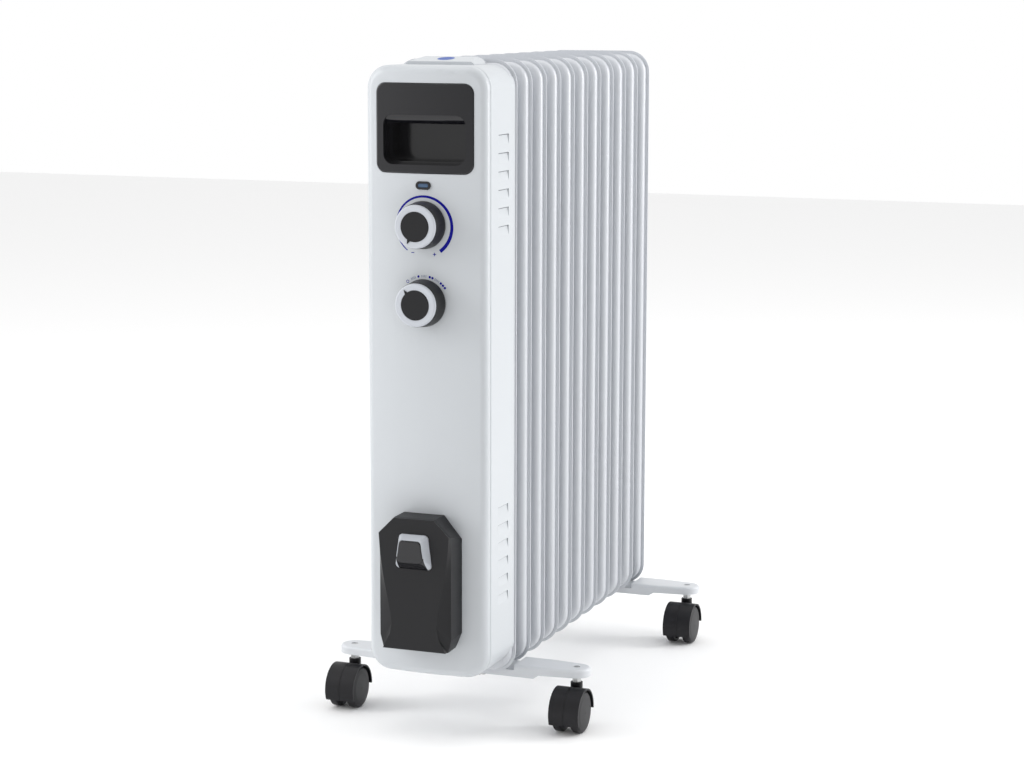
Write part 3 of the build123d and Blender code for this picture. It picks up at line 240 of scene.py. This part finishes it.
def ink_piece(name, strips, material):
    """Thin closed prisms from (x, z) quad strips: each strip is a list of point pairs."""
    mesh = bpy.data.meshes.new(name)
    form = bmesh.new()
    for strip in strips:
        rows = []
        for pair in strip:
            front = [form.verts.new((x, crown_y(x, INK_PROUD), z)) for x, z in pair]
            back = [form.verts.new((x, crown_y(x, INK_PROUD - INK_DEPTH), z)) for x, z in pair]
            rows.append((front[0], front[1], back[1], back[0]))
        for one, two in zip(rows, rows[1:]):
            for side in range(4):
                nxt = (side + 1) % 4
                form.faces.new((one[side], one[nxt], two[nxt], two[side]))
        form.faces.new(rows[0])
        form.faces.new(rows[-1])
    bmesh.ops.remove_doubles(form, verts=form.verts, dist=1e-7)
    bmesh.ops.recalc_face_normals(form, faces=form.faces)
    form.to_mesh(mesh)
    form.free()
    mesh.materials.append(material)
    piece = bpy.data.objects.new(name, mesh)
    bpy.context.collection.objects.link(piece)
    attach(piece, "heater")
    print(name, "faces:", len(mesh.polygons))
    return piece


# %% [markdown]
# The upper dial is a crescent: thin at the minus sign, it grows clockwise over the top until
# it is widest beside the plus sign. Its width is a straight function of the angle.


# %% Upper dial
def on_dial(radius, angle, centre_z):
    """Point at an angle in degrees, anticlockwise from the right."""
    turn = math.radians(angle)
    return (radius * math.cos(turn), centre_z + radius * math.sin(turn))


def crescent(centre_z, mid_r, start, end, width_start, width_end, steps=72):
    """Strip along an arc whose width grows from start to end."""
    strip = []
    for step in range(steps + 1):
        share = step / steps
        angle = start + (end - start) * share
        half = (width_start + (width_end - width_start) * share) / 2
        strip.append((on_dial(mid_r - half, angle, centre_z), on_dial(mid_r + half, angle, centre_z)))
    return strip


def bar(centre, length, width, angle):
    """Short straight bar as a strip."""
    turn = math.radians(angle)
    along = (math.cos(turn) * length / 2, math.sin(turn) * length / 2)
    side = (-math.sin(turn) * width / 2, math.cos(turn) * width / 2)
    strip = []
    for end in (-1, 1):
        x = centre[0] + end * along[0]
        z = centre[1] + end * along[1]
        strip.append(((x + side[0], z + side[1]), (x - side[0], z - side[1])))
    return strip


SCALE_R = 27.4 * MM
SCALE_FROM = 234
SCALE_TO = -54
THIN_END = 0.9 * MM
THICK_END = 3.3 * MM
SIGN_WIDTH = 0.7 * MM
upper = [crescent(THERMOSTAT_Z, SCALE_R, SCALE_FROM, SCALE_TO, THIN_END, THICK_END)]
minus = on_dial(26.4 * MM, 246, THERMOSTAT_Z)
plus = on_dial(27.2 * MM, -67, THERMOSTAT_Z)
upper.append(bar(minus, 3.0 * MM, SIGN_WIDTH, 0))
upper.append(bar(plus, 3.2 * MM, SIGN_WIDTH, 0))
upper.append(bar(plus, 3.2 * MM, 0.72 * MM, 90))
ink_piece("print_heat_scale", upper, ink_navy)

# %% [markdown]
# The power dial has an open ring for off and one, two or three dots for the heat stages.


# %% Lower dial
def dot(centre, outer, inner=0.0, steps=20):
    """Round dot, or a ring when inner is above zero, as a closed strip."""
    strip = []
    for step in range(steps + 1):
        turn = math.tau * step / steps
        way = (math.cos(turn), math.sin(turn))
        strip.append((
            (centre[0] + way[0] * inner, centre[1] + way[1] * inner),
            (centre[0] + way[0] * outer, centre[1] + way[1] * outer),
        ))
    return strip


STAGE_R = 26 * MM
DOT_ANGLES = (101.5, 76.6, 70.5, 49.9, 43.7, 37.5)
stages = [dot(on_dial(STAGE_R, 128, SWITCH_Z), 1.5 * MM, 1.0 * MM)]
for angle in DOT_ANGLES:
    stages.append(dot(on_dial(STAGE_R, angle, SWITCH_Z), 1.15 * MM, 0.02 * MM))
ink_piece("print_heat_stages", stages, ink_navy)

# %% [markdown]
# The fine ticks between the stages repeat by one rule, so Geometry Nodes make them: a line of
# points, one bar on each, turned to point at the dial's centre and dropped on the crown.


# %% Tick tree
def tree_with(name, numbers):
    """Geometry tree with named float inputs, and its input and output nodes."""
    tree = bpy.data.node_groups.new(name, "GeometryNodeTree")
    for label, value in numbers.items():
        socket = tree.interface.new_socket(label, in_out="INPUT", socket_type="NodeSocketFloat")
        socket.default_value = value
    tree.interface.new_socket("Geometry", in_out="OUTPUT", socket_type="NodeSocketGeometry")
    return tree, add_node(tree, "NodeGroupInput"), add_node(tree, "NodeGroupOutput")


def sum_of(tree, kind, one, two):
    """A math node and its result."""
    return add_node(tree, "ShaderNodeMath", {"operation": kind}, {0: one, 1: two}).outputs[0]


def tick_tree():
    """Ticks along an arc on the crowned cover."""
    tree, given, result = tree_with("Dial ticks", {
        "Count": 12.0, "Start angle": 1.0, "Step": 0.1, "Radius": 0.026, "Centre height": 0.4,
        "Tick length": 0.002, "Tick width": 0.0003, "Crown radius": 0.28, "Face depth": 0.0,
    })
    line = add_node(tree, "GeometryNodeMeshLine", None, {"Count": given.outputs["Count"]})
    index = add_node(tree, "GeometryNodeInputIndex")
    turned = sum_of(tree, "MULTIPLY", index.outputs[0], given.outputs["Step"])
    angle = sum_of(tree, "ADD", turned, given.outputs["Start angle"])
    side = sum_of(tree, "MULTIPLY", sum_of(tree, "COSINE", angle, 0.0), given.outputs["Radius"])
    rise = sum_of(tree, "MULTIPLY", sum_of(tree, "SINE", angle, 0.0), given.outputs["Radius"])
    height = sum_of(tree, "ADD", rise, given.outputs["Centre height"])
    spot = add_node(tree, "ShaderNodeCombineXYZ", None, {"X": side, "Z": height})
    placed = add_node(
        tree, "GeometryNodeSetPosition", None,
        {"Geometry": line.outputs["Mesh"], "Position": spot.outputs[0]},
    )
    size = add_node(
        tree, "ShaderNodeCombineXYZ", None,
        {"X": given.outputs["Tick length"], "Y": 0.00012, "Z": given.outputs["Tick width"]},
    )
    block = add_node(tree, "GeometryNodeMeshCube", None, {"Size": size.outputs[0]})
    tilt = sum_of(tree, "MULTIPLY", angle, -1.0)
    turn = add_node(tree, "ShaderNodeCombineXYZ", None, {"Y": tilt})
    copies = add_node(tree, "GeometryNodeInstanceOnPoints", None, {
        "Points": placed.outputs["Geometry"], "Instance": block.outputs["Mesh"],
        "Rotation": turn.outputs[0],
    })
    real = add_node(
        tree, "GeometryNodeRealizeInstances", None, {"Geometry": copies.outputs["Instances"]}
    )
    where = add_node(tree, "ShaderNodeSeparateXYZ", None, {
        "Vector": add_node(tree, "GeometryNodeInputPosition").outputs[0],
    })
    square = sum_of(tree, "MULTIPLY", where.outputs["X"], where.outputs["X"])
    twice = sum_of(tree, "MULTIPLY", given.outputs["Crown radius"], 2.0)
    sag = sum_of(tree, "DIVIDE", square, twice)
    depth = sum_of(tree, "ADD", sag, given.outputs["Face depth"])
    shift = add_node(tree, "ShaderNodeCombineXYZ", None, {"Y": depth})
    dropped = add_node(
        tree, "GeometryNodeSetPosition", None,
        {"Geometry": real.outputs["Geometry"], "Offset": shift.outputs[0]},
    )
    inked = add_node(
        tree, "GeometryNodeSetMaterial", None,
        {"Geometry": dropped.outputs["Geometry"], "Material": ink_grey},
    )
    tree.links.new(inked.outputs["Geometry"], result.inputs["Geometry"])
    return tree


def grown(name, tree, values, body):
    """Runs a geometry tree and keeps its result as a plain mesh that rides on a body."""
    host = bpy.data.objects.new(name + "_host", bpy.data.meshes.new(name + "_host"))
    bpy.context.collection.objects.link(host)
    modifier = host.modifiers.new("Grow", "NODES")
    modifier.node_group = tree
    for item in tree.interface.items_tree:
        if item.item_type == "SOCKET" and item.in_out == "INPUT" and item.name in values:
            modifier[item.identifier] = values[item.name]
    graph = bpy.context.evaluated_depsgraph_get()
    mesh = bpy.data.meshes.new_from_object(host.evaluated_get(graph))
    mesh.name = name
    bpy.data.objects.remove(host)
    piece = bpy.data.objects.new(name, mesh)
    bpy.context.collection.objects.link(piece)
    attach(piece, body)
    print(name, "faces:", len(mesh.polygons))
    return piece


# %% Grow the ticks
ticks = tick_tree()
TICK_SPANS = (("first", 118.0, 4), ("second", 94.0, 4), ("third", 64.5, 4))
for label, start, count in TICK_SPANS:
    grown("print_ticks_" + label, ticks, {
        "Count": float(count), "Start angle": math.radians(start), "Step": math.radians(-3.0),
        "Radius": STAGE_R, "Centre height": SWITCH_Z, "Tick length": 2.2 * MM,
        "Tick width": 0.52 * MM, "Crown radius": CROWN_R, "Face depth": FACE_Y,
    }, "heater")

# %% [markdown]
# Every louvre in the side of the housing is pressed inwards from a cut along its upper edge.
# The cut opens on the shaded inside, which reads as a grey line. A second tree paints that shade:
# it lays one thin grey strip of painted shade under each upper edge, in lines that repeat at the
# louvre pitch.


# %% Tree for the painted slit shade
def slit_shade_tree():
    """A column of thin strips of painted shade."""
    tree, given, result = tree_with("Louvre slits", {
        "Count": 6.0, "Pitch": 0.01675, "Across": 0.06, "Depth": 0.0, "Top height": 0.5,
        "Length": 0.026, "Height": 0.0012, "Thickness": 0.0004,
    })
    fall = sum_of(tree, "MULTIPLY", given.outputs["Pitch"], -1.0)
    step = add_node(tree, "ShaderNodeCombineXYZ", None, {"Z": fall})
    begin = add_node(tree, "ShaderNodeCombineXYZ", None, {
        "X": given.outputs["Across"], "Y": given.outputs["Depth"], "Z": given.outputs["Top height"],
    })
    line = add_node(tree, "GeometryNodeMeshLine", None, {
        "Count": given.outputs["Count"], "Start Location": begin.outputs[0],
        "Offset": step.outputs[0],
    })
    size = add_node(tree, "ShaderNodeCombineXYZ", None, {
        "X": given.outputs["Thickness"], "Y": given.outputs["Length"], "Z": given.outputs["Height"],
    })
    block = add_node(tree, "GeometryNodeMeshCube", None, {"Size": size.outputs[0]})
    copies = add_node(tree, "GeometryNodeInstanceOnPoints", None, {
        "Points": line.outputs["Mesh"], "Instance": block.outputs["Mesh"],
    })
    real = add_node(
        tree, "GeometryNodeRealizeInstances", None, {"Geometry": copies.outputs["Instances"]}
    )
    # Each strip gets the grey of painted shade.
    painted = add_node(
        tree, "GeometryNodeSetMaterial", None,
        {"Geometry": real.outputs["Geometry"], "Material": slit_painted_shade},
    )
    tree.links.new(painted.outputs["Geometry"], result.inputs["Geometry"])
    return tree


# %% Grow the painted slit shade
LOUVRE_TOPS = {"upper": 567.3 * MM, "lower": 221.6 * MM}
LOUVRE_DEPTH_Y = FACE_Y + 47.0 * MM
SLIT_INSET = 1.35 * MM
SLIT_HEIGHT = 0.8 * MM
# Painted shade: thin grey strips where the louvre slits open on the shaded inside.
slits = slit_shade_tree()
for side_name, side in (("left", -1), ("right", 1)):
    for group, top in LOUVRE_TOPS.items():
        grown(f"louvre_slits_{side_name}_{group}", slits, {
            "Across": side * (COVER_HALF_WIDTH - SLIT_INSET), "Depth": LOUVRE_DEPTH_Y,
            "Top height": top - SLIT_HEIGHT / 2 - 0.05 * MM, "Length": 25.9 * MM,
            "Height": SLIT_HEIGHT,
        }, "heater")

# %% [markdown]
# The cap on top of the housing carries a round blue label. Its printed symbol is left out, and
# a plain blue disc with a fine pale rim stands for it.

# %% Label on the cap
LABEL_R = 9.0 * MM
LABEL_FIELD_R = 0.9 * LABEL_R
LABEL_SINK = 0.1 * MM
LABEL_Y = FACE_Y + 54 * MM
SLOPE_START_Y = FACE_Y + 39 * MM
SLOPE_END_Y = FACE_Y + 66 * MM
SLOPE_START_Z = 632.7 * MM
SLOPE_END_Z = 636.7 * MM


def cap_z(y):
    """Height of the cap's sloping top at depth y."""
    share = (y - SLOPE_START_Y) / (SLOPE_END_Y - SLOPE_START_Y)
    return SLOPE_START_Z + share * (SLOPE_END_Z - SLOPE_START_Z)


def label_disc(name, outer, inner, lift, material, steps=48):
    """Thin closed ring lying on the cap's slope."""
    mesh = bpy.data.meshes.new(name)
    form = bmesh.new()
    rows = []
    for step in range(steps):
        turn = math.tau * step / steps
        row = []
        for radius, rise in ((inner, lift), (outer, lift), (outer, -LABEL_SINK), (inner, -LABEL_SINK)):
            x = radius * math.cos(turn)
            y = LABEL_Y + radius * math.sin(turn)
            row.append(form.verts.new((x, y, cap_z(y) + rise)))
        rows.append(row)
    for one, two in zip(rows, rows[1:] + rows[:1]):
        for side in range(4):
            nxt = (side + 1) % 4
            form.faces.new((one[side], one[nxt], two[nxt], two[side]))
    bmesh.ops.recalc_face_normals(form, faces=form.faces)
    form.to_mesh(mesh)
    form.free()
    mesh.materials.append(material)
    piece = bpy.data.objects.new(name, mesh)
    bpy.context.collection.objects.link(piece)
    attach(piece, "heater")
    print(name, "faces:", len(mesh.polygons))


label_disc("cap_label_ring", LABEL_R, LABEL_FIELD_R, 0.12 * MM, finishes["white_plastic"])
label_disc("cap_label_field", LABEL_FIELD_R, 0.2 * MM, 0.10 * MM, ink_blue)

# %% [markdown]
# The floor is one plain pale sheet under an equally pale sky, so hardly any horizon shows.
# Three area lights shape the heater: a key from the right and behind that rakes over the
# fins, a tall one from the left that rolls off round the crowned cover, and a soft one above.
# The pale world fills every shadow. It is a little darker towards the right front, like a room
# beside a softbox, so that the cover and the black plastics fall off towards the right.

# %% Floor
stage_white = finish_material("Matt white studio paper", "FCFCFC", 0.9)
floor_mesh = bpy.data.meshes.new("studio_floor")
FLOOR_HALF = 6.0
floor_mesh.from_pydata(
    [(-FLOOR_HALF, -FLOOR_HALF, 0), (FLOOR_HALF, -FLOOR_HALF, 0),
     (FLOOR_HALF, FLOOR_HALF, 0), (-FLOOR_HALF, FLOOR_HALF, 0)],
    [], [(0, 1, 2, 3)],
)
floor_mesh.materials.append(stage_white)
floor = bpy.data.objects.new("studio_floor", floor_mesh)
bpy.context.collection.objects.link(floor)


# %% Lights
def area_light(name, place, target, size, power, tall=None):
    """Soft rectangular lamp aimed at a target."""
    lamp = bpy.data.lights.new(name, "AREA")
    lamp.energy = power
    lamp.size = size
    if tall:
        lamp.shape = "RECTANGLE"
        lamp.size_y = tall
    holder = bpy.data.objects.new(name, lamp)
    holder.location = place
    holder.rotation_euler = (Vector(target) - Vector(place)).to_track_quat("-Z", "Y").to_euler()
    bpy.context.collection.objects.link(holder)
    print(name, power, "W")


MIDDLE = (0.0, 0.0, 0.32)
area_light("key_right", (2.4, 1.3, 1.1), MIDDLE, 0.7, 42, tall=1.8)
area_light("fill_left", (-2.4, -1.4, 1.2), MIDDLE, 0.9, 30, tall=2.0)
area_light("top_soft", (0.0, -0.2, 2.6), MIDDLE, 1.8, 10)

world = bpy.data.worlds.new("Pale studio")
world.use_nodes = True
world.node_tree.nodes["Background"].inputs["Color"].default_value = linear("FFFFFF")
SHADED_SIDE = (0.72, -0.69, 0.0)
SHADED_STRENGTH = 0.55
sky = world.node_tree
way = add_node(sky, "ShaderNodeTexCoord")
toward = add_node(
    sky, "ShaderNodeVectorMath", {"operation": "DOT_PRODUCT"},
    {0: way.outputs["Generated"], 1: SHADED_SIDE},
)
glow = add_node(sky, "ShaderNodeMapRange", None, {
    "Value": toward.outputs["Value"], "From Min": 0.1, "From Max": 0.9,
    "To Min": 1.0, "To Max": SHADED_STRENGTH,
})
sky.links.new(glow.outputs["Result"], sky.nodes["Background"].inputs["Strength"])
bpy.context.scene.world = world
bpy.context.scene.view_settings.view_transform = "Standard"

# %% [markdown]
# The camera stands a little to the right of the front and slightly above the middle, far
# enough away to keep the upright edges nearly parallel.

# %% Camera
FOCAL_PIXELS = 2464.4
IMAGE_WIDTH = 1024
AZIMUTH = math.radians(21.187)
ELEVATION = math.radians(9.004)
DISTANCE = 2.4306
AIM = Vector((0.015317, 0.184 + FACE_Y, 0.313713))
ROLL = math.radians(0.133)
camera_data = bpy.data.cameras.new("Studio camera")
camera_data.sensor_width = 36.0
camera_data.lens = FOCAL_PIXELS / IMAGE_WIDTH * camera_data.sensor_width
camera = bpy.data.objects.new("Studio camera", camera_data)
back = Vector((
    math.sin(AZIMUTH) * math.cos(ELEVATION),
    -math.cos(AZIMUTH) * math.cos(ELEVATION),
    math.sin(ELEVATION),
))
camera.location = AIM + back * DISTANCE
turned = back.to_track_quat("Z", "Y").to_matrix() @ Matrix.Rotation(ROLL, 3, "Z")
camera.rotation_euler = turned.to_euler()
bpy.context.collection.objects.link(camera)
bpy.context.scene.camera = camera
print("camera at", [round(v, 4) for v in camera.location])
